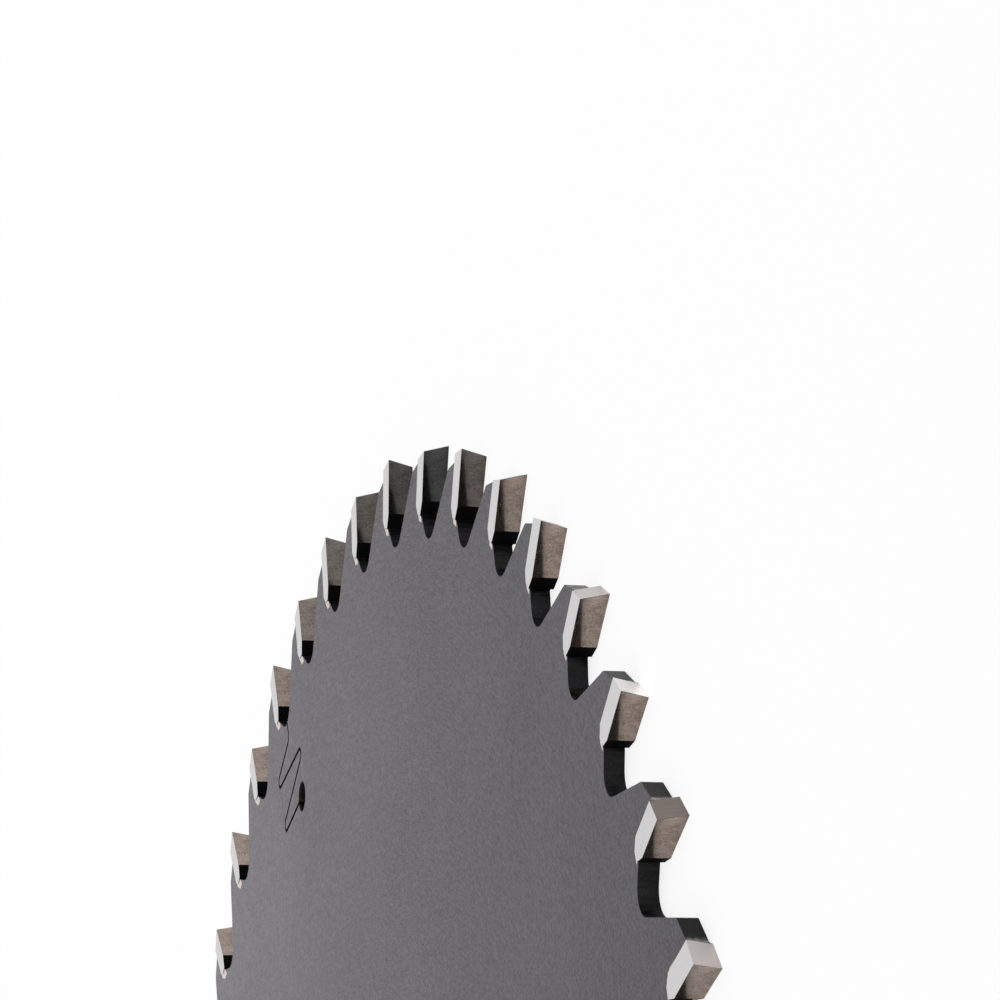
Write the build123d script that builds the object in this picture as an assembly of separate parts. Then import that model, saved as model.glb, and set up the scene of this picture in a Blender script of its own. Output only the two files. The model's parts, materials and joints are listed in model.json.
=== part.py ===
from build123d import *
from math import acos, atan2, cos, hypot, radians, sin, sqrt, tan
import os

# Circular saw blade with brazed carbide tips, lying flat.
# The origin is the centre of the bore at half the plate's thickness.
# +Z is the spindle axis. Seen from +Z the teeth cut clockwise.
# Lengths are in millimetres, angles in degrees.

# Blade and plate
BLADE_DIAMETER = 216.0
TOOTH_COUNT = 48
PLATE_THICKNESS = 1.8
BORE_DIAMETER = 30.0

# Carbide tip, measured along its rake face and square to it
TIP_HEIGHT = 6.85
TIP_THICKNESS = 2.55
TIP_GROUND_LENGTH = 5.45
TIP_NOSE_SETBACK = 0.65
TIP_HEEL_CHAMFER = 0.85

# How far a tip stands out beyond each face of the plate
TIP_OVERHANG = 0.35

# Grinding angles of the tip
HOOK_ANGLE = 4.0
TOP_RELIEF_ANGLE = 15.0
TOP_BEVEL_ANGLE = 14.0
SIDE_RELIEF_ANGLE = 1.5
SIDE_TAPER_ANGLE = 0.5

# Seat of the tip in the plate
BRAZE_GAP = 0.12
SEAT_LIP_SETBACK = 0.3

# Steel shoulder behind the tip
LAND_ABOVE_CORNER = 0.08
LAND_LENGTH = 3.2
LAND_SLOPE = 21.5
SHOULDER_RADIUS = 0.5

# Chip gullet in front of the tip
GULLET_DEPTH = 9.1
GULLET_RADIUS = 2.3
GULLET_LEAD = 1.5

# Winding expansion slots that start in a gullet
SLOT_COUNT = 3
FIRST_SLOT_TOOTH = 11
SLOT_WIDTH = 0.4
SLOT_STEM = 2.1
SLOT_STEM_RADIUS = 1.0
SLOT_CORNER_REACH = 8.9
SLOT_PASS_DROP = 3.1
SLOT_BEND_RADIUS = 0.7
SLOT_HOLE_DIAMETER = 3.3
SLOT_HOLE_OFFSET = 3.7
SLOT_HOLE_DROP = 1.6

# How far a cutting shape runs past what it cuts
OVERRUN = 2.0

KERF = PLATE_THICKNESS + 2 * TIP_OVERHANG
TIP_RADIUS = BLADE_DIAMETER / 2
PITCH_ANGLE = 360.0 / TOOTH_COUNT
TOP_RELIEF = tan(radians(TOP_RELIEF_ANGLE))
TOP_BEVEL = tan(radians(TOP_BEVEL_ANGLE))
LAND_SLOPE_RATIO = tan(radians(LAND_SLOPE))

# The two ways to turn about a centre, seen from +Z
COUNTER = 1
CLOCKWISE = -1


# A tooth is drawn at the top of the blade, where its cutting edge crosses the Y axis.
# There X runs the way the tooth cuts and Y runs outwards.
def tooth_point(forward, outward):
    return Vector(forward, TIP_RADIUS + outward)


# The same point in the blade, counted from the rake face:
# down is the distance from the cutting edge along the face, back the distance behind it.
def rake_point(down, back):
    hook = radians(HOOK_ANGLE)
    forward = -down * sin(hook) - back * cos(hook)
    outward = -down * cos(hook) + back * sin(hook)
    return tooth_point(forward, outward)


# Where a tooth's own point lies once the tooth is moved some teeth clockwise
def moved_clockwise(point, teeth):
    return point.rotate(Axis.Z, -teeth * PITCH_ANGLE)


# Where the tangent from a point touches a circle. Seen from the circle's centre, the
# touching point is found by turning from the point the way that turn says.
def tangent_point(point, centre, radius, turn):
    to_point = point - centre
    distance = hypot(to_point.X, to_point.Y)
    bearing = atan2(to_point.Y, to_point.X) + turn * acos(radius / distance)
    return centre + Vector(radius * cos(bearing), radius * sin(bearing))


# The back wall of the seat, or of the tip where the gap is zero, ends on the land.
# The land is a straight line that passes just above the lowest corner of the tip's top. That
# corner lies outside the plate, and where steel and tip meet the tip is still the higher one.
def seat_top(gap):
    tip_drop = TIP_THICKNESS * TOP_RELIEF + KERF * TOP_BEVEL
    land = tooth_point(-TIP_THICKNESS, LAND_ABOVE_CORNER - tip_drop)
    top = rake_point(0.0, TIP_THICKNESS + gap)
    wall = rake_point(1.0, TIP_THICKNESS + gap) - top
    rise = land.Y + (top.X - land.X) * LAND_SLOPE_RATIO - top.Y
    return top + wall * (rise / (wall.Y - wall.X * LAND_SLOPE_RATIO))


# The floor of the seat ends in a lip a little behind the tip's nose
def seat_front(gap):
    return rake_point(TIP_HEIGHT + gap, TIP_NOSE_SETBACK + SEAT_LIP_SETBACK)


# The heel in side view, where the tip's back corner is cut off at 45 degrees: the lower end
# of its back and the rear end of its floor. The gap moves back, cut and floor away from the
# tip by the same distance, to the faces of the seat, and that makes the cut longer.
def heel_corners(gap):
    leg = TIP_HEEL_CHAMFER + gap * (2 - sqrt(2))
    back_end = rake_point(TIP_HEIGHT + gap - leg, TIP_THICKNESS + gap)
    floor_end = rake_point(TIP_HEIGHT + gap, TIP_THICKNESS + gap - leg)
    return [back_end, floor_end]


def shoulder_corner():
    slope = radians(LAND_SLOPE)
    back = Vector(-LAND_LENGTH * cos(slope), -LAND_LENGTH * sin(slope))
    return seat_top(BRAZE_GAP) + back


def gullet_centre():
    return tooth_point(GULLET_LEAD, GULLET_RADIUS - GULLET_DEPTH)


# Outline of one steel tooth, from the gullet behind it to the end of its own gullet
def tooth_outline():
    gullet = gullet_centre()
    gullet_behind = moved_clockwise(gullet, -1)
    next_shoulder = moved_clockwise(shoulder_corner(), 1)
    back_foot = tangent_point(shoulder_corner(), gullet_behind, GULLET_RADIUS, CLOCKWISE)
    front_foot = tangent_point(seat_front(BRAZE_GAP), gullet, GULLET_RADIUS, COUNTER)
    gullet_end = tangent_point(next_shoulder, gullet, GULLET_RADIUS, CLOCKWISE)
    shoulder = FilletPolyline(
        back_foot,
        shoulder_corner(),
        seat_top(BRAZE_GAP),
        radius=[SHOULDER_RADIUS],
    )
    seat = Polyline(
        seat_top(BRAZE_GAP),
        *heel_corners(BRAZE_GAP),
        seat_front(BRAZE_GAP),
        front_foot,
    )
    bottom = gullet + Vector(0, -GULLET_RADIUS)
    floor = ThreePointArc(front_foot, bottom, gullet_end)
    return shoulder.edges() + seat.edges() + floor.edges()


# One expansion slot: it leaves the gullet inwards, winds from side to side and ends in a
# round hole that stops it from growing into a crack. Its passes would meet in sharp
# corners at the reach to either side, and the bends round those corners off.
def slot_cutter():
    stem_foot = -GULLET_DEPTH - SLOT_STEM
    first_bend = stem_foot - SLOT_PASS_DROP / 2
    second_bend = first_bend - SLOT_PASS_DROP
    third_bend = second_bend - SLOT_PASS_DROP
    hole = tooth_point(SLOT_HOLE_OFFSET, third_bend - SLOT_HOLE_DROP)
    path = FilletPolyline(
        gullet_centre(),
        tooth_point(GULLET_LEAD, stem_foot),
        tooth_point(-SLOT_CORNER_REACH, first_bend),
        tooth_point(SLOT_CORNER_REACH, second_bend),
        tooth_point(-SLOT_CORNER_REACH, third_bend),
        hole,
        radius=[SLOT_STEM_RADIUS, SLOT_BEND_RADIUS, SLOT_BEND_RADIUS, SLOT_BEND_RADIUS],
    )
    end_hole = Pos(hole.X, hole.Y) * Circle(SLOT_HOLE_DIAMETER / 2)
    outline = trace(path, SLOT_WIDTH) + end_hole
    return extrude(outline, PLATE_THICKNESS / 2 + OVERRUN, both=True)


# The steel plate: toothed outline, bore and expansion slots
def make_plate():
    edges = []
    for tooth in range(TOOTH_COUNT):
        for edge in tooth_outline():
            edges.append(edge.rotate(Axis.Z, -tooth * PITCH_ANGLE))
    rim = Wire(edges)
    bore = Wire.make_circle(BORE_DIAMETER / 2)
    plate = extrude(Face(rim, [bore]), PLATE_THICKNESS / 2, both=True)
    cutter = slot_cutter()
    for slot in range(SLOT_COUNT):
        turn = (FIRST_SLOT_TOOTH - 1) * PITCH_ANGLE + slot * 360.0 / SLOT_COUNT
        plate -= cutter.rotate(Axis.Z, -turn)
    return plate


# The tip: its side view drawn as an outline, made as wide as the kerf,
# then ground on top and on both sides
def make_tip():
    edge_top = rake_point(-OVERRUN, 0.0)
    back_top = rake_point(-OVERRUN, TIP_THICKNESS)
    ground_end = rake_point(TIP_GROUND_LENGTH, 0.0)
    nose = rake_point(TIP_HEIGHT, TIP_NOSE_SETBACK)
    side_view = Polyline(edge_top, back_top, *heel_corners(0.0), nose, ground_end, close=True)
    tip = extrude(make_face(side_view), KERF / 2 + OVERRUN, both=True)

    # The top falls away behind the cutting edge and towards the low side
    high_corner = tooth_point(0.0, 0.0) + Vector(0, 0, KERF / 2)
    top = Plane(origin=high_corner, z_dir=(-TOP_RELIEF, 1.0, -TOP_BEVEL))
    tip = split(tip, bisect_by=top, keep=Keep.BOTTOM)

    # The sides draw in behind the rake face and towards the bore
    back_draw = tan(radians(SIDE_RELIEF_ANGLE))
    inward_draw = tan(radians(SIDE_TAPER_ANGLE))
    for side in (1, -1):
        corner = tooth_point(0.0, 0.0) + Vector(0, 0, side * KERF / 2)
        flank = Plane(origin=corner, z_dir=(-back_draw, -inward_draw, side))
        tip = split(tip, bisect_by=flank, keep=Keep.BOTTOM)
    return tip


# The braze between a tip and its seat, as wide as the plate is thick
def make_braze():
    tip_side = [seat_top(0.0), *heel_corners(0.0), seat_front(0.0)]
    seat_side = [seat_top(BRAZE_GAP), *heel_corners(BRAZE_GAP), seat_front(BRAZE_GAP)]
    outline = Polyline(*tip_side, *reversed(seat_side), close=True)
    return extrude(make_face(outline), PLATE_THICKNESS / 2, both=True)


os.makedirs("parts", exist_ok=True)

plate = make_plate()
export_step(plate, "parts/blade_plate.step")

# Every second tip is the mirror image of the one before it, so the high
# corners lie on alternate sides of the cut
high_tip = make_tip()
low_tip = mirror(high_tip, about=Plane.XY)
for tooth in range(TOOTH_COUNT):
    blank = high_tip if tooth % 2 == 0 else low_tip
    tip = blank.rotate(Axis.Z, -tooth * PITCH_ANGLE)
    export_step(tip, f"parts/tip_{tooth + 1:02d}.step")

braze = make_braze()
joints = []
for tooth in range(TOOTH_COUNT):
    joints.append(braze.rotate(Axis.Z, -tooth * PITCH_ANGLE))
export_step(Compound(children=joints), "parts/braze_joints.step")

print("plate volume mm3", round(plate.volume, 1))
print("tip volume mm3", round(high_tip.volume, 3))
print("braze volume mm3", round(braze.volume, 4))
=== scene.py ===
# %% [markdown]
# # A circular saw blade with carbide tips
# This lesson dresses a saw blade that is already built to size: a toothed steel plate, 48
# carbide tips and the braze that holds them. A saw blade has few parts and simple forms, so
# its looks come almost wholly from finishes. The same grey metal is dull on the plate, mirror
# bright where a grinding wheel has passed, and black where nothing has touched it. The cell
# below loads the built model. Its pieces stay where they are, in metres, with the blade's
# centre at the origin and its spindle along Z.

# %% Load the blade
import json
from math import atan2, cos, degrees, hypot, pi, radians, sin

import bmesh
import bpy
from mathutils import Matrix, Quaternion, Vector


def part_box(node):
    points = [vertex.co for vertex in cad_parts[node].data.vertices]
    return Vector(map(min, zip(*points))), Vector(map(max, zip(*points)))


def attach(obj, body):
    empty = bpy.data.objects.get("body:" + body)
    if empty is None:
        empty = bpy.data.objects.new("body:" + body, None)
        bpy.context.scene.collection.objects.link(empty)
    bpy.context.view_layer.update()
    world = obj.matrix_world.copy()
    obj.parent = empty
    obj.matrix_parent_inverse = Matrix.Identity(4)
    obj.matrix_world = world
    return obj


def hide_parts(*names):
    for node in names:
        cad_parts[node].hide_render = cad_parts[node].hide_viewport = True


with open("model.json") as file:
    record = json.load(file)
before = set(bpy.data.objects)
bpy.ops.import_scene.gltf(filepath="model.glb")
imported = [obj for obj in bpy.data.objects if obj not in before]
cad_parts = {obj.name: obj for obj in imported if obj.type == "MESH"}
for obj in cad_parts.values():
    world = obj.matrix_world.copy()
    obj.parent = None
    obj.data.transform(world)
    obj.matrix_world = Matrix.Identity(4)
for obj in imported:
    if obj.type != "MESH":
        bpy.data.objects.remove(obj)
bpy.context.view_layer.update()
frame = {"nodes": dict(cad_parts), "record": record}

MM = 0.001
tip_names = sorted(name for name in frame["nodes"] if name.startswith("tip_"))
TOOTH_COUNT = len(tip_names)
PITCH = 2 * pi / TOOTH_COUNT
tip_low, tip_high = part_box(tip_names[0])
TIP_RADIUS = tip_high.y
print(TOOTH_COUNT, "tips, cutting radius", round(TIP_RADIUS / MM, 2), "mm")

# %% [markdown]
# ## The camera
# The photo was taken with a long lens, almost along the plate, so that the teeth stand one
# behind the other. A camera can be placed by hand in the viewport, but then nobody knows why
# it is where it is. Here it is placed in words that say why: aim at a point on the blade,
# stand so far away, at such a bearing and height above the plate, and turn the camera on its
# side. The blade lies flat, so the turn is what puts it upright in the picture.

# %% Place the camera
AIM = Vector((13.2, 104.57, 0.9)) * MM
DISTANCE = 340.75 * MM
HEIGHT_ANGLE = radians(15.516)
BEARING = radians(5.364)
TURN_ON_SIDE = radians(-87.712)
FOCAL_LENGTH = 136.57
NEAREST_SEEN = 0.01
FARTHEST_SEEN = 20.0

away = Vector((
    cos(HEIGHT_ANGLE) * cos(BEARING),
    cos(HEIGHT_ANGLE) * sin(BEARING),
    sin(HEIGHT_ANGLE),
))
camera = bpy.data.objects.new("camera", bpy.data.cameras.new("camera"))
camera.data.lens = FOCAL_LENGTH
camera.data.clip_start = NEAREST_SEEN
camera.data.clip_end = FARTHEST_SEEN
camera.location = AIM + away * DISTANCE
camera.rotation_mode = "QUATERNION"
level = (-away).to_track_quat("-Z", "Y")
camera.rotation_quaternion = level @ Quaternion((0, 0, 1), TURN_ON_SIDE)
bpy.context.scene.collection.objects.link(camera)
bpy.context.scene.camera = camera
print("camera", round(degrees(HEIGHT_ANGLE), 1), "degrees above the plate")

# %% [markdown]
# ## Shader maths as Python
# A material is a graph of nodes, and a long one is hard to read on screen. Two small classes
# turn it into text. A `Wire` is one output of a node, and plus, minus and times add a Math
# node each. Methods such as `__rsub__` are for a plain number on the left, as in `1 - mask`.
# A `Graph` is a tree of nodes, and its `node` method adds any other kind of node. A node's
# settings go in first, because some of them change which inputs it has.

# %% Wires and graphs
class Wire:
    """One output of a node. Arithmetic on it adds Math nodes."""

    def __init__(self, graph, socket):
        self.graph = graph
        self.socket = socket

    def math(self, operation, first, second):
        return self.graph.node("ShaderNodeMath", {"operation": operation}, {0: first, 1: second})

    def __add__(self, other):
        return self.math("ADD", self, other)

    def __radd__(self, other):
        return self.math("ADD", other, self)

    def __sub__(self, other):
        return self.math("SUBTRACT", self, other)

    def __rsub__(self, other):
        return self.math("SUBTRACT", other, self)

    def __mul__(self, other):
        return self.math("MULTIPLY", self, other)

    def __rmul__(self, other):
        return self.math("MULTIPLY", other, self)


class Graph:
    """A tree of nodes, with one method that adds a node of any kind."""

    def __init__(self, tree):
        self.tree = tree

    def node(self, kind, settings, inputs, output=0):
        made = self.tree.nodes.new(kind)
        for setting, value in settings.items():
            setattr(made, setting, value)
        for socket, value in inputs.items():
            self.join(value, made.inputs[socket])
        return Wire(self, made.outputs[output])

    def join(self, value, socket):
        if isinstance(value, Wire):
            self.tree.links.new(value.socket, socket)
        else:
            socket.default_value = value


trial = Graph(bpy.data.node_groups.new("trial", "ShaderNodeTree"))
value = trial.node("ShaderNodeValue", {}, {})
print("the last node of 1 - value * 2 is a", (1 - value * 2).socket.node.operation)
bpy.data.node_groups.remove(trial.tree)

# %% [markdown]
# ## Finishes
# Every material here is one Principled shader with a few patterns in front of it. A `Finish`
# is a graph that holds that shader, and its methods are short ways to the nodes that all the
# finishes use. Nearly all the patterns are noise. Noise that is the same size every way looks
# like grain, and noise that is drawn out along one direction looks like the lines that a
# grinding wheel leaves, without the even steps by which a wave texture gives itself away.

# %% Finishes and colours
# Where most values of one noise lie, and of a blend of several
NOISE_LOW, NOISE_HIGH = 0.3, 0.7
BLEND_LOW, BLEND_HIGH = 0.38, 0.62
# A Mix node has sockets for each kind of value, and these are the ones for colours
MIX_FIRST, MIX_SECOND, MIX_RESULT = 6, 7, 2


class Finish(Graph):
    """One material: a Principled shader and the patterns that feed it."""

    def __init__(self, name, **constants):
        self.material = bpy.data.materials.new(name)
        self.material.use_nodes = True
        super().__init__(self.material.node_tree)
        self.shader = self.tree.nodes["Principled BSDF"]
        self.feed(**constants)

    def feed(self, **values):
        for socket, value in values.items():
            self.join(value, self.shader.inputs[socket.replace("_", " ")])

    def place(self):
        return self.node("ShaderNodeTexCoord", {}, {}, "Object")

    def split(self, vector):
        parts = self.node("ShaderNodeSeparateXYZ", {}, {0: vector}).socket.node
        return [Wire(self, parts.outputs[axis]) for axis in "XYZ"]

    def merge(self, x, y, z):
        return self.node("ShaderNodeCombineXYZ", {}, {"X": x, "Y": y, "Z": z})

    def noise_at(self, vector, scale, detail, roughness):
        numbers = {"Vector": vector, "Scale": scale, "Detail": detail, "Roughness": roughness}
        return self.node("ShaderNodeTexNoise", {}, numbers, "Fac")

    def grain(self, size, detail, roughness):
        """Noise of one size every way."""
        return self.noise_at(self.place(), 1 / size, detail, roughness)

    def streaks(self, x_size, y_size, z_size, detail, roughness):
        """Noise that is drawn out, with its own size along each direction of the piece."""
        x, y, z = self.split(self.place())
        squeezed = self.merge(x * (1 / x_size), y * (1 / y_size), z * (1 / z_size))
        return self.noise_at(squeezed, 1.0, detail, roughness)

    def ramp(self, value, low, high, start=0.0, end=1.0):
        """The value's way from low to high, drawn out smoothly from start to end."""
        numbers = {"Value": value, "From Min": low, "From Max": high, "To Min": start, "To Max": end}
        return self.node("ShaderNodeMapRange", {"interpolation_type": "SMOOTHSTEP"}, numbers, "Result")

    def spread(self, noise, start, end):
        """The usual values of a noise, drawn out from start to end."""
        return self.ramp(noise, NOISE_LOW, NOISE_HIGH, start, end)

    def mix(self, factor, first, second):
        """A colour between two others."""
        colours = {"Factor": factor, MIX_FIRST: first, MIX_SECOND: second}
        return self.node("ShaderNodeMix", {"data_type": "RGBA"}, colours, MIX_RESULT)

    def bump(self, height, distance, strength):
        numbers = {"Height": height, "Distance": distance, "Strength": strength}
        return self.node("ShaderNodeBump", {}, numbers, "Normal")


def colour(red, green, blue):
    """A colour as a screen shows it, from 0 to 255, in the linear numbers a shader needs."""
    def linear(level):
        share = level / 255
        return share / 12.92 if share <= 0.04045 else ((share + 0.055) / 1.055) ** 2.4
    return (linear(red), linear(green), linear(blue), 1.0)


print("a plate grey of 110 is", round(colour(110, 110, 110)[0], 3), "to the shader")

# %% [markdown]
# ## The paper
# The picture has no visible room: the white around the blade is paper and a bright wall. A
# plane with a white material gives that, but a lit plane is never even, so most of its white
# is emission that only the camera sees. The rest is plain paper that takes light and shadow.
# The room is too dim to make that part white, so camera and mirrors see its light twice: an
# Add Shader takes the same shader at both of its inputs. The light that the paper throws back
# on the blade stays as it is.

# %% Lay the paper
FLOOR_REACH = 3.0
FLOOR_GAP = 0.01 * MM
PAPER_GLOW = 0.85


def light_path(graph, output):
    return graph.node("ShaderNodeLightPath", {}, {}, output)


def looked_at(graph):
    """1 where the camera or a mirror looks, 0 where light only bounces."""
    return light_path(graph, "Is Camera Ray") + light_path(graph, "Is Glossy Ray")


floor_mesh = bpy.data.meshes.new("floor")
floor_tools = bmesh.new()
bmesh.ops.create_grid(floor_tools, x_segments=1, y_segments=1, size=FLOOR_REACH)
floor_tools.to_mesh(floor_mesh)
floor_tools.free()
floor = bpy.data.objects.new("floor", floor_mesh)
floor.location.z = tip_low.z - FLOOR_GAP
bpy.context.scene.collection.objects.link(floor)

paper = Finish(
    "white_paper", Base_Color=colour(250, 250, 251), Roughness=0.9, Specular_IOR_Level=0.0
)
glow = paper.node("ShaderNodeEmission", {}, {"Color": (1, 1, 1, 1), "Strength": 1.0}, "Emission")
lit = Wire(paper, paper.shader.outputs["BSDF"])
twice = paper.node("ShaderNodeAddShader", {}, {0: lit, 1: lit})
plain = paper.node("ShaderNodeMixShader", {}, {0: looked_at(paper), 1: lit, 2: twice})
glowing = light_path(paper, "Is Camera Ray") * PAPER_GLOW
sheet = paper.node("ShaderNodeMixShader", {}, {0: glowing, 1: plain, 2: glow})
paper.join(sheet, paper.tree.nodes["Material Output"].inputs["Surface"])
floor_mesh.materials.append(paper.material)
print("floor at", round(floor.location.z / MM, 2), "mm")

# %% [markdown]
# ## The room
# Bright metal is only as bright as the room around it, but a room that lights everything as
# brightly as it looks would leave no shade. So the world is a soft grey for lighting, and
# white for whatever the camera or a mirror sees. A Light Path node tells the two apart, and a
# Map Range turns its 0 or 1 into the world's strength.

# %% Light the room
ROOM_LIGHT = 0.44

world = bpy.data.worlds.new("studio")
world.use_nodes = True
bpy.context.scene.world = world
room = Graph(world.node_tree)
strengths = {"Value": looked_at(room), "To Min": ROOM_LIGHT, "To Max": 1.0}
strength = room.node("ShaderNodeMapRange", {}, strengths, "Result")
backdrop = room.tree.nodes["Background"]
backdrop.inputs["Color"].default_value = (1, 1, 1, 1)
room.join(strength, backdrop.inputs["Strength"])
bpy.context.scene.view_settings.view_transform = "Standard"
print("room light", ROOM_LIGHT, "for lighting and 1 for looking")

# %% [markdown]
# ## Two lamps
# One large soft lamp above gives the light its direction. A small low one stands beyond the
# blade and makes the plate brighter on the side of the picture that is nearest to it. The
# ground sides of the tips would mirror that lamp as hard white patches, so it is hidden from
# mirrors with one switch. It would also throw long shadows on the paper in front of the tips,
# and their rake faces would mirror those. Light linking keeps it off the paper: the lamp gets
# a collection that holds the floor, marked as left out, and lights everything else.

# %% Hang the lamps
def softbox(name, place, target, size, watts, mirrored=True):
    lamp = bpy.data.lights.new(name, "AREA")
    lamp.shape = "SQUARE"
    lamp.size = size
    lamp.energy = watts
    box = bpy.data.objects.new(name, lamp)
    box.location = place
    box.rotation_mode = "QUATERNION"
    box.rotation_quaternion = (Vector(target) - Vector(place)).to_track_quat("-Z", "Y")
    box.visible_glossy = mirrored
    bpy.context.scene.collection.objects.link(box)
    return box


def keep_off_paper(box):
    left_out = bpy.data.collections.new(box.name + "_leaves_out")
    left_out.objects.link(floor)
    left_out.collection_objects[0].light_linking.link_state = "EXCLUDE"
    box.light_linking.receiver_collection = left_out


softbox("softbox_above", place=(-0.25, 0.25, 0.6), target=(0, 0, 0), size=0.6, watts=0.25)
beyond = softbox(
    "softbox_beyond",
    place=(-0.16, -0.01, 0.16),
    target=(-0.03, 0.05, 0.0),
    size=0.1,
    watts=0.64,
    mirrored=False,
)
keep_off_paper(beyond)
print("lamps", [lamp.name for lamp in bpy.data.lights])

# %% [markdown]
# ## The plate's faces
# The plate is rolled steel, ground flat on both sides and then coated or blued, so it is dull
# and a little purple. Grinding leaves fine lines that run round the blade's centre. They are
# noise that is drawn out along the circle: it is read at a point whose first two numbers are
# the direction from the centre, which changes slowly, and whose third is the radius, which
# changes fast.

# %% Dull ground steel
LINE_WIDTH = 0.11 * MM
LINE_LENGTH = 1.6 * MM
LINES_SHARE, GRAIN_SHARE, CLOUDS_SHARE = 0.26, 0.66, 0.08
RIM_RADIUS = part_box("blade_plate")[1].y


def circling_lines(finish, width, length):
    x, y, _ = finish.split(finish.place())
    flat = finish.merge(x, y, 0.0)
    heading = finish.node("ShaderNodeVectorMath", {"operation": "NORMALIZE"}, {0: flat}, "Vector")
    radius = finish.node("ShaderNodeVectorMath", {"operation": "LENGTH"}, {0: flat}, "Value")
    heading_x, heading_y, _ = finish.split(heading)
    lengths = RIM_RADIUS / length
    around = finish.merge(heading_x * lengths, heading_y * lengths, radius * (1 / width))
    return finish.noise_at(around, 1.0, detail=3.0, roughness=0.6)


plate_face = Finish("saw_steel_face", Metallic=0.2, Specular_IOR_Level=0.12)
lines = circling_lines(plate_face, LINE_WIDTH, LINE_LENGTH)
grain = plate_face.grain(0.26 * MM, detail=3.0, roughness=0.8)
clouds = plate_face.grain(30 * MM, detail=3.0, roughness=0.5)
blend = lines * LINES_SHARE + grain * GRAIN_SHARE + clouds * CLOUDS_SHARE
shade = plate_face.ramp(blend, BLEND_LOW, BLEND_HIGH)
plate_face.feed(
    Base_Color=plate_face.mix(shade, colour(64, 62, 65), colour(103, 101, 105)),
    Roughness=plate_face.spread(grain, 0.52, 0.64),
    Normal=plate_face.bump(lines + grain, distance=0.004 * MM, strength=0.4),
)
print("grinding lines", round(LINE_WIDTH / MM, 2), "mm wide")

# %% [markdown]
# ## The plate's cut edge
# The gullets and shoulders are cut by laser and left as they are. The heat turns the wall
# nearly black, and a close look shows faint bright specks in it, so only the highest values
# of a fine noise are let through as specks. The melt leaves lines across the wall, and those
# are noise drawn out along Z. Seen along the surface, the same wall shines, which the
# shader's own Fresnel term gives for free.

# %% Laser cut steel
CUT_LINE = 0.3 * MM

plate_rim = Finish("saw_steel_cut", Metallic=0.4, Specular_IOR_Level=0.3)
ripple = plate_rim.streaks(CUT_LINE, CUT_LINE, 2 * MM, detail=3.0, roughness=0.6)
scorched = plate_rim.mix(plate_rim.ramp(ripple, 0.35, 0.7), colour(17, 16, 18), colour(42, 40, 43))
specks = plate_rim.ramp(plate_rim.grain(0.16 * MM, detail=2.0, roughness=0.7), 0.62, 0.78)
plate_rim.feed(
    Base_Color=plate_rim.mix(specks, scorched, colour(84, 80, 84)),
    Roughness=plate_rim.spread(ripple, 0.34, 0.52),
    Normal=plate_rim.bump(ripple, distance=0.02 * MM, strength=0.5),
)
print("rim finish", len(plate_rim.tree.nodes), "nodes")

# %% [markdown]
# ## The bore
# The bore has to fit a spindle, so it is ground to size after the laser has cut it, and its
# wall is bright steel with lines that run round it. Every point of the wall lies equally far
# from the centre, so only the height is needed to draw them: fine noise along Z, and slow
# noise in the other two directions.

# %% Ground bore
BORE_LINE = 0.05 * MM

bore_finish = Finish("saw_steel_bore", Metallic=1.0)
bore_lines = bore_finish.streaks(4 * MM, 4 * MM, BORE_LINE, detail=2.0, roughness=0.5)
bore_finish.feed(
    Base_Color=bore_finish.mix(bore_lines, colour(120, 119, 122), colour(172, 171, 174)),
    Roughness=bore_finish.spread(bore_lines, 0.25, 0.4),
    Normal=bore_finish.bump(bore_lines, distance=0.003 * MM, strength=0.4),
)
print("bore lines", BORE_LINE / MM, "mm apart")

# %% [markdown]
# ## The land behind each tip
# The wheel that grinds a tip's top runs on into the steel behind it, so the land is bright
# next to the tip and scaled black further back. The finish needs to know how far behind its
# tooth's cutting edge a point lies. It reads the point's angle about the spindle and wraps it
# to one tooth's pitch, which turns 48 teeth into one. Noise shifts the border between bright
# and black, which would be a straight line without it.

# %% Land, half ground and half scaled
TIP_AND_BRAZE = 2.67 * MM
GROUND_LENGTH = 0.1 * MM
FADE_LENGTH = 0.8 * MM
SMEAR_LENGTH = 1.2 * MM
GROUND_END = TIP_AND_BRAZE + GROUND_LENGTH
# A tooth's share of the pitch, ahead of its cutting edge and behind it
AHEAD = 0.4 * PITCH
BEHIND = 0.6 * PITCH

land_finish = Finish("saw_steel_land", Specular_IOR_Level=0.1)
x, y, _ = land_finish.split(land_finish.place())
angle = land_finish.node("ShaderNodeMath", {"operation": "ARCTAN2"}, {0: x, 1: y})
wrap = {0: angle, 1: AHEAD, 2: -BEHIND}
own_angle = land_finish.node("ShaderNodeMath", {"operation": "WRAP"}, wrap)
behind_edge = own_angle * -TIP_RADIUS
smears = land_finish.grain(0.5 * MM, detail=3.0, roughness=0.6)
smeared = behind_edge + (smears - 0.5) * SMEAR_LENGTH
scaled = land_finish.ramp(smeared, GROUND_END, GROUND_END + FADE_LENGTH)
land_finish.feed(
    Base_Color=land_finish.mix(scaled, colour(150, 146, 146), colour(20, 19, 22)),
    Metallic=1 - scaled,
    Roughness=land_finish.spread(smears, 0.2, 0.34),
    Normal=land_finish.bump(smears, distance=0.01 * MM, strength=0.4),
)
print("the land is black from", round((GROUND_END + FADE_LENGTH) / MM, 2), "mm behind the edge")

# %% [markdown]
# ## The plate with broken edges
# A real plate never has a perfectly sharp edge: deburring breaks it by about a twentieth of a
# millimetre, and that thin line catches the light. A Bevel modifier could add it, but here
# the bevel is made once in the mesh, because each new face can then be given a material. The
# built plate is copied, its doubled corners are welded, and only the edges that fold are
# bevelled. The tips are copied in the same way, so each step is a helper.

# %% Copy the plate and find its folds
WELD = 0.001 * MM
SAME_PLANE = radians(1)
PLATE_FOLD = radians(50)


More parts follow.
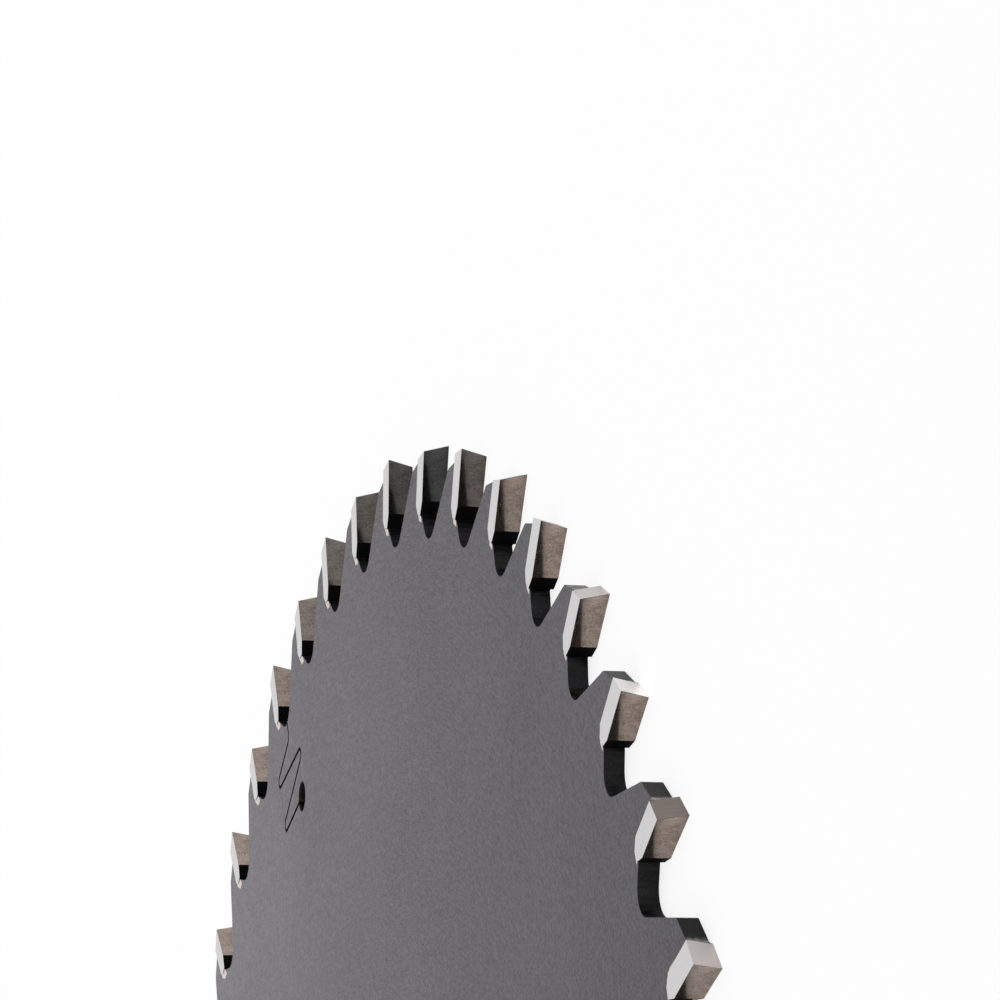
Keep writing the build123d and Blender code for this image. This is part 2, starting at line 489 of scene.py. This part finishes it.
def welded_copy(node, turn=0.0, shift=Vector()):
    """A working mesh of a built piece, turned back about the spindle and moved."""
    work = bmesh.new()
    work.from_mesh(frame["nodes"][node].data)
    bmesh.ops.remove_doubles(work, verts=work.verts, dist=WELD)
    back = Matrix.Translation(shift) @ Matrix.Rotation(turn, 4, "Z")
    bmesh.ops.transform(work, matrix=back, verts=work.verts)
    return work


def merge_flat_faces(work):
    bmesh.ops.dissolve_limit(work, angle_limit=SAME_PLANE, verts=work.verts, edges=work.edges)


def folded_edges(work, least):
    return [edge for edge in work.edges if edge.is_manifold and edge.calc_face_angle() > least]


def break_edges(work, edges, width):
    """Bevels the edges in two facets each, and less where there is no room."""
    bmesh.ops.bevel(
        work,
        geom=edges,
        offset=width,
        segments=2,
        profile=0.5,
        affect="EDGES",
        clamp_overlap=True,
    )


def finished_piece(name, work, materials, choose):
    """Turns a working mesh into an object, with a material chosen for each face."""
    mesh = bpy.data.meshes.new(name)
    work.to_mesh(mesh)
    work.free()
    for material in materials:
        mesh.materials.append(material)
    for face in mesh.polygons:
        face.material_index = choose(face)
        face.use_smooth = True
    piece = bpy.data.objects.new(name, mesh)
    bpy.context.scene.collection.objects.link(piece)
    return piece


def keep_flats_flat(piece):
    """Shades the large faces flat, so that only the bevels look rounded."""
    weighted = piece.modifiers.new("weighted_normals", "WEIGHTED_NORMAL")
    weighted.keep_sharp = True


plate_work = welded_copy("blade_plate")
plate_folds = folded_edges(plate_work, PLATE_FOLD)
print("the plate has", len(plate_folds), "edges that fold")

# %% [markdown]
# ## Four finishes on one plate
# The bevelled copy is one mesh, and each of its faces has to know which finish it takes. Four
# painted masks would do it, but the form itself says enough. A face that looks up or down is
# ground flat, one near the spindle is the bore, and one near the rim that tilts as a land does
# is a land. What remains is cut. The tilt is read with the face turned back to tooth 1. The
# last lines hide the built piece that this one replaces and say which body it moves with, and
# the tips and the braze end in the same way.

# %% Break the plate's edges and finish its faces
EDGE_BREAK = 0.05 * MM
# The least of a face's normal that points along Z where the face looks up or down
LOOKS_UP = 0.3
LAND_TILT = radians(21.5)
TILT_SLACK = radians(3)
LOWEST_LAND = TIP_RADIUS - 4 * MM
FACE, CUT, LAND, BORE = range(4)
bore_mount = next(mount for mount in frame["record"]["mounts"] if mount["kind"] == "bore")
BORE_LIMIT = bore_mount["dims"]["r_mm"] * MM + EDGE_BREAK


def plate_face_kind(face):
    if abs(face.normal.z) > LOOKS_UP:
        return FACE
    radius = hypot(face.center.x, face.center.y)
    if radius < LOWEST_LAND:
        return BORE if radius < BORE_LIMIT else CUT
    pitches = (atan2(face.center.x, face.center.y) + (BEHIND - AHEAD) / 2) / PITCH
    upright = Matrix.Rotation(round(pitches) * PITCH, 3, "Z") @ face.normal
    on_land = abs(atan2(-upright.x, upright.y) - LAND_TILT) < TILT_SLACK
    return LAND if on_land else CUT


break_edges(plate_work, plate_folds, EDGE_BREAK)
plate = finished_piece(
    "steel_plate",
    plate_work,
    [plate_face.material, plate_rim.material, land_finish.material, bore_finish.material],
    plate_face_kind,
)
keep_flats_flat(plate)
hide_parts("blade_plate")
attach(plate, "root")
print("plate faces", len(plate.data.polygons))

# %% [markdown]
# ## The rake face
# Each tip is pressed from carbide powder and sintered, then ground wherever it cuts. Ground
# carbide is a real mirror with fine lines in the wheel's direction, so it is almost fully
# metallic and shows its surroundings. The dark wedge on each rake face in the photo needs no
# paint: it is the mirrored black wall of the next gullet. The tips don't look alike, though:
# the darkest of them, near the top of the picture, are dark grey. That dark grey is a painted
# reflection of the dark room around the camera, which those rake faces mirror, laid into the
# colour of the carbide. All tips share this material, so each keeps its share of the painted
# reflection in its object's colour, and the finish reads it there.

# %% Ground rake face
WHEEL_SHARE, GRAIN_SHARE, BLOTCH_SHARE = 0.22, 0.44, 0.34
# Channels of a tip's object colour: the painted dark reflection on its rake face, and its top's
# lightness
PAINTED_REFLECTION_NUMBER, TOP_NUMBER = 0, 1


def tip_colour_number(finish, which):
    """One of the tip's numbers from 0 to 1, kept in its object's colour, such as the painted reflection
    on its rake face.
    """
    own = finish.node("ShaderNodeObjectInfo", {}, {}, "Color")
    return finish.split(own)[which]


rake_finish = Finish("carbide_rake", Metallic=0.89)
wheel_lines = rake_finish.streaks(MM, 0.09 * MM, 3 * MM, detail=3.0, roughness=0.7)
grain = rake_finish.grain(0.16 * MM, detail=3.0, roughness=0.8)
blotches = rake_finish.grain(1.3 * MM, detail=3.0, roughness=0.6)
specks = rake_finish.grain(0.15 * MM, detail=1.0, roughness=0.5)
blend = wheel_lines * WHEEL_SHARE + grain * GRAIN_SHARE + blotches * BLOTCH_SHARE
shade = rake_finish.ramp(blend, BLEND_LOW, BLEND_HIGH)
brown = rake_finish.mix(shade, colour(128, 114, 105), colour(179, 163, 152))
# Painted reflection: dark grey where a rake face mirrors the dark room, in place of the brown
dark = rake_finish.mix(shade, colour(55, 56, 55), colour(81, 82, 80))
reflection_lightness = tip_colour_number(rake_finish, PAINTED_REFLECTION_NUMBER)
rake_with_painted_reflection = rake_finish.mix(reflection_lightness, dark, brown)
# The bright specks fade out where the dark reflection is painted
bright = rake_finish.ramp(specks, 0.7, 0.77) * reflection_lightness
rake_finish.feed(
    Base_Color=rake_finish.mix(bright, rake_with_painted_reflection, colour(206, 200, 194)),
    Roughness=rake_finish.ramp(specks, 0.6, 0.78, 0.07, 0.3),
    Normal=rake_finish.bump(wheel_lines * 0.6 + grain, distance=0.002 * MM, strength=0.3),
)
print("rake finish", len(rake_finish.tree.nodes), "nodes")

# %% [markdown]
# ## Sides and top
# The sides and the top are ground with other wheels, so their lines run other ways and they
# are a little duller and cleaner than the rake face. A second number in the object's colour
# says how light a tip's top is. One top in the photo is darker than the rest, and one top is
# set to its lightest colour as a painted highlight.

# %% Ground sides and tops
side_finish = Finish("carbide_side", Metallic=1.0)
side_lines = side_finish.streaks(0.08 * MM, 1.2 * MM, 0.2 * MM, detail=3.0, roughness=0.5)
side_finish.feed(
    Base_Color=side_finish.mix(side_lines, colour(188, 186, 187), colour(208, 206, 207)),
    Roughness=side_finish.spread(side_lines, 0.24, 0.34),
    Normal=side_finish.bump(side_lines, distance=0.003 * MM, strength=0.3),
)

top_finish = Finish("carbide_top", Metallic=1.0)
top_lines = top_finish.streaks(0.08 * MM, MM, 1.2 * MM, detail=3.0, roughness=0.5)
# The lighter colour, used in full, is a painted highlight
lighter_top_colour = top_finish.mix(top_lines, colour(236, 232, 229), colour(252, 248, 245))
darker_top_colour = top_finish.mix(top_lines, colour(110, 101, 96), colour(136, 127, 122))
top_finish.feed(
    Base_Color=top_finish.mix(tip_colour_number(top_finish, TOP_NUMBER), darker_top_colour, lighter_top_colour),
    Roughness=top_finish.spread(top_lines, 0.16, 0.26),
    Normal=top_finish.bump(top_lines, distance=0.002 * MM, strength=0.3),
)
print("side and top finish", len(side_finish.tree.nodes), "and", len(top_finish.tree.nodes), "nodes")

# %% [markdown]
# ## Sintered skin
# Below the ground part of the rake face the tip keeps the skin that it had when it left the
# sintering oven: nearly black, matt and slightly rough. It needs no metal at all, only a very
# dark colour, hardly any shine and a fine bump.

# %% Sintered skin
skin_finish = Finish("carbide_skin", Metallic=0.0, Specular_IOR_Level=0.06)
skin_grain = skin_finish.grain(0.1 * MM, detail=2.0, roughness=0.7)
crests = skin_finish.ramp(skin_grain, 0.55, 0.8)
skin_finish.feed(
    Base_Color=skin_finish.mix(crests, colour(4, 4, 5), colour(20, 19, 20)),
    Roughness=skin_finish.spread(skin_grain, 0.5, 0.7),
    Normal=skin_finish.bump(skin_grain, distance=0.01 * MM, strength=0.5),
)
print("skin finish", len(skin_finish.tree.nodes), "nodes")

# %% [markdown]
# ## Two tip meshes
# All the tips of one hand are the same piece, turned about the spindle, so two meshes are
# enough: one with its high corner on this side and one with it on the other. Each mesh is
# moved to its own frame, with the origin at the middle of the cutting edge. X is then the way
# that it cuts, Y runs outwards and Z across, and the materials' patterns can be drawn in
# those directions on every tip alike.

# %% Make two tip meshes
TIP_BREAK = 0.02 * MM
TIP_FOLD = radians(10)
# The least of a face's normal along Z, Y and X where the face is a side, a top or a rake face
LOOKS_ACROSS, LOOKS_OUTWARDS, LOOKS_FORWARDS = 0.8, 0.7, 0.97
RAKE, SIDE, TOP, SKIN = range(4)
tip_finishes = [rake_finish, side_finish, top_finish, skin_finish]


def tip_face_kind(face):
    if abs(face.normal.z) > LOOKS_ACROSS:
        return SIDE
    if face.normal.y > LOOKS_OUTWARDS:
        return TOP
    return RAKE if face.normal.x > LOOKS_FORWARDS else SKIN


def tip_mesh(name, tooth):
    work = welded_copy(tip_names[tooth], tooth * PITCH, Vector((0, -TIP_RADIUS, 0)))
    merge_flat_faces(work)
    break_edges(work, folded_edges(work, TIP_FOLD), TIP_BREAK)
    materials = [finish.material for finish in tip_finishes]
    piece = finished_piece(name, work, materials, tip_face_kind)
    mesh = piece.data
    bpy.data.objects.remove(piece)
    return mesh


hands = [tip_mesh("tip_high_here", 0), tip_mesh("tip_high_behind", 1)]
print("tip faces", [len(mesh.polygons) for mesh in hands])

# %% [markdown]
# ## 48 tips and their painted reflections
# The tips are objects that share the two meshes, each turned to its own tooth. In the photo
# the rake faces are darkest a little to the left of the top. From there they turn light
# brown within three teeth to the right, and more slowly to the left. The dark is a painted
# reflection of the dark room, put into the tips' colour. Two smooth steps, counted in teeth
# from the darkest tip, say that in fewer words than a list of 48 numbers would. The steps are
# worked out in Python and end up in each object's colour. Teeth are counted from 0 here, as
# Python does, so tooth 47 is the piece named tip_48.

# %% Make 48 tips
# Where the painted dark reflection on the rake faces is deepest, and over how many teeth it fades
DARKEST_PAINTED_TOOTH = 47
PAINTED_FADE_RIGHT = (0.2, 2.6)
PAINTED_FADE_LEFT = (0.0, 7.0)
# A darker top, and a top lightened by a painted highlight
DARKER_TOP = 5
PAINTED_HIGHLIGHT_TOP = 4
USUAL_TOP = 0.5
TEETH_PRINTED = 10


def fade(value, start, end):
    """Rises smoothly from 0 at the start to 1 at the end."""
    share = min(max((value - start) / (end - start), 0.0), 1.0)
    return share * share * (3 - 2 * share)


def painted_reflection_lightness(tooth):
    """From 0 on the deepest painted reflection to 1 where none is painted, by the count of teeth between
    them.
    """
    after = (tooth - DARKEST_PAINTED_TOOTH + TOOTH_COUNT / 2) % TOOTH_COUNT - TOOTH_COUNT / 2
    return fade(after, *PAINTED_FADE_RIGHT) if after > 0 else fade(-after, *PAINTED_FADE_LEFT)


top_lightness = {DARKER_TOP: 0.0, PAINTED_HIGHLIGHT_TOP: 1.0}
for tooth, name in enumerate(tip_names):
    tip = bpy.data.objects.new("carbide_" + name, hands[tooth % 2])
    tip.matrix_world = Matrix.Rotation(-tooth * PITCH, 4, "Z") @ Matrix.Translation((0, TIP_RADIUS, 0))
    bpy.context.scene.collection.objects.link(tip)
    # The object colour holds the painted rake reflection and the top's lightness
    tip.color = (painted_reflection_lightness(tooth), top_lightness.get(tooth, USUAL_TOP), 0.0, 1.0)
    keep_flats_flat(tip)
    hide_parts(name)
    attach(tip, "root")
# Prints the painted reflection lightness of the last teeth
last_teeth = range(TOOTH_COUNT - TEETH_PRINTED, TOOTH_COUNT)
print("the last rake tones", [round(painted_reflection_lightness(tooth), 2) for tooth in last_teeth])

# %% [markdown]
# ## The braze
# Silver braze fills the gap between tip and seat. Because the tip is wider than the plate, the
# braze also creeps out of the gap and cools as a small hollow fillet on both faces, widest
# under the tip where it pools. A Bevel modifier can't make a hollow form between two pieces.
# Here one section, from the fillet on one face through the gap to the other, is set at each
# corner of the built joint, and the sections are joined into one closed skin.

# %% Read one joint's line from the built braze
BRAZE_GAP = 0.12 * MM


def first_joint_line():
    """The corners of tooth 1's joint on the upper face: along the tip, then along the seat."""
    work = welded_copy("braze_joints")
    merge_flat_faces(work)
    for face in work.faces:
        centre = face.calc_center_median()
        if face.normal.z > LOOKS_UP and abs(atan2(centre.x, centre.y)) < PITCH / 2:
            corners = [corner.co.copy() for corner in face.verts]
    work.free()

    # The highest corner is the tip's. Where the next one is just across the gap, the corners
    # run along the seat first, and the other way round is the right one.
    top = max(range(len(corners)), key=lambda index: corners[index].y)
    corners = corners[top:] + corners[:top]
    if (corners[1] - corners[0]).length < 2 * BRAZE_GAP:
        corners = corners[:1] + corners[:0:-1]
    half = len(corners) // 2
    return corners[:half], list(reversed(corners[half:]))


tip_line, seat_line = first_joint_line()
print("joint corners", [(round(c.x / MM, 2), round(c.y / MM, 2)) for c in tip_line])

# %% [markdown]
# ## The braze's finish
# Silver braze sets from a melt, so it is bright and a little lumpy, and the copper in it
# makes it slightly pink. One noise does all of it: colour, shine and bumps.

# %% Silver braze
braze_finish = Finish("silver_braze_skin", Metallic=0.9)
lumps = braze_finish.grain(0.4 * MM, detail=3.0, roughness=0.6)
braze_finish.feed(
    Base_Color=braze_finish.mix(lumps, colour(186, 172, 169), colour(226, 216, 213)),
    Roughness=braze_finish.spread(lumps, 0.3, 0.5),
    Normal=braze_finish.bump(lumps, distance=0.04 * MM, strength=0.6),
)
print("braze finish", len(braze_finish.tree.nodes), "nodes")

# %% [markdown]
# ## A joint's section
# The hollow of a fillet is a curve that leaves the tip's side steeply and runs out flat on
# the plate. A quadratic curve with three control points does that in one line of Python. The
# section starts with it on the upper face, goes back to the seat and repeats both mirrored on
# the lower face.

# %% One section through a joint
FILLET_RISE = 0.2 * MM
FILLET_STEPS = 5
MIDDLE_REACH = 0.6


def fillet_profile(width):
    """Points of the hollow fillet, as share of the way across the gap and height."""
    points = []
    for step in range(FILLET_STEPS + 1):
        t = step / FILLET_STEPS
        reach = t * t * (1 + width / BRAZE_GAP) + 2 * t * (1 - t) * MIDDLE_REACH
        rise = (1 - t) * (1 - t) * FILLET_RISE
        points.append((reach, rise))
    return points


def joint_section(tip_corner, seat_corner, width):
    across = seat_corner - tip_corner
    upper = [tip_corner + across * reach + Vector((0, 0, rise)) for reach, rise in fillet_profile(width)]
    upper.append(seat_corner.copy())
    lower = [Vector((point.x, point.y, -point.z)) for point in reversed(upper)]
    return upper + lower


print("one section has", len(joint_section(tip_line[0], seat_line[0], 0.0)), "points")

# %% [markdown]
# ## 48 joints
# The fillet grows wider from the land down to the lip of the seat, so each corner of the
# joint has its own width, and the sections between two corners take theirs from both. One
# mesh holds all the joints, as the built model has them in one piece. Neighbouring sections
# are joined corner to corner, and the first and last are closed. Faces inside the gap take
# the cut steel's dark finish.

# %% Make 48 joints
FILLET_WIDTHS = [0.12 * MM, 0.3 * MM, 0.5 * MM, 0.62 * MM]
STEPS_TO_CORNER = 6
# The least of a face's normal along Z on the open skin of a fillet
OPEN_SKIN = 0.15


def joint_sections():
    sections = []
    for index in range(len(tip_line) - 1):
        for step in range(STEPS_TO_CORNER):
            share = step / STEPS_TO_CORNER
            sections.append(joint_section(
                tip_line[index].lerp(tip_line[index + 1], share),
                seat_line[index].lerp(seat_line[index + 1], share),
                FILLET_WIDTHS[index] * (1 - share) + FILLET_WIDTHS[index + 1] * share,
            ))
    sections.append(joint_section(tip_line[-1], seat_line[-1], FILLET_WIDTHS[-1]))
    return sections


def add_joint(work, sections, turn):
    rings = [[work.verts.new(turn @ point) for point in section] for section in sections]
    for ring, following in zip(rings, rings[1:]):
        for index in range(len(ring)):
            after = (index + 1) % len(ring)
            work.faces.new([ring[index], ring[after], following[after], following[index]])
    work.faces.new(rings[0])
    work.faces.new(list(reversed(rings[-1])))


sections = joint_sections()
braze_work = bmesh.new()
for tooth in range(TOOTH_COUNT):
    add_joint(braze_work, sections, Matrix.Rotation(-tooth * PITCH, 4, "Z"))
bmesh.ops.recalc_face_normals(braze_work, faces=braze_work.faces)
braze = finished_piece(
    "braze_with_fillets",
    braze_work,
    [braze_finish.material, plate_rim.material],
    lambda face: 0 if abs(face.normal.z) > OPEN_SKIN else 1,
)
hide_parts("braze_joints")
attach(braze, "root")
print("braze faces", len(braze.data.polygons))
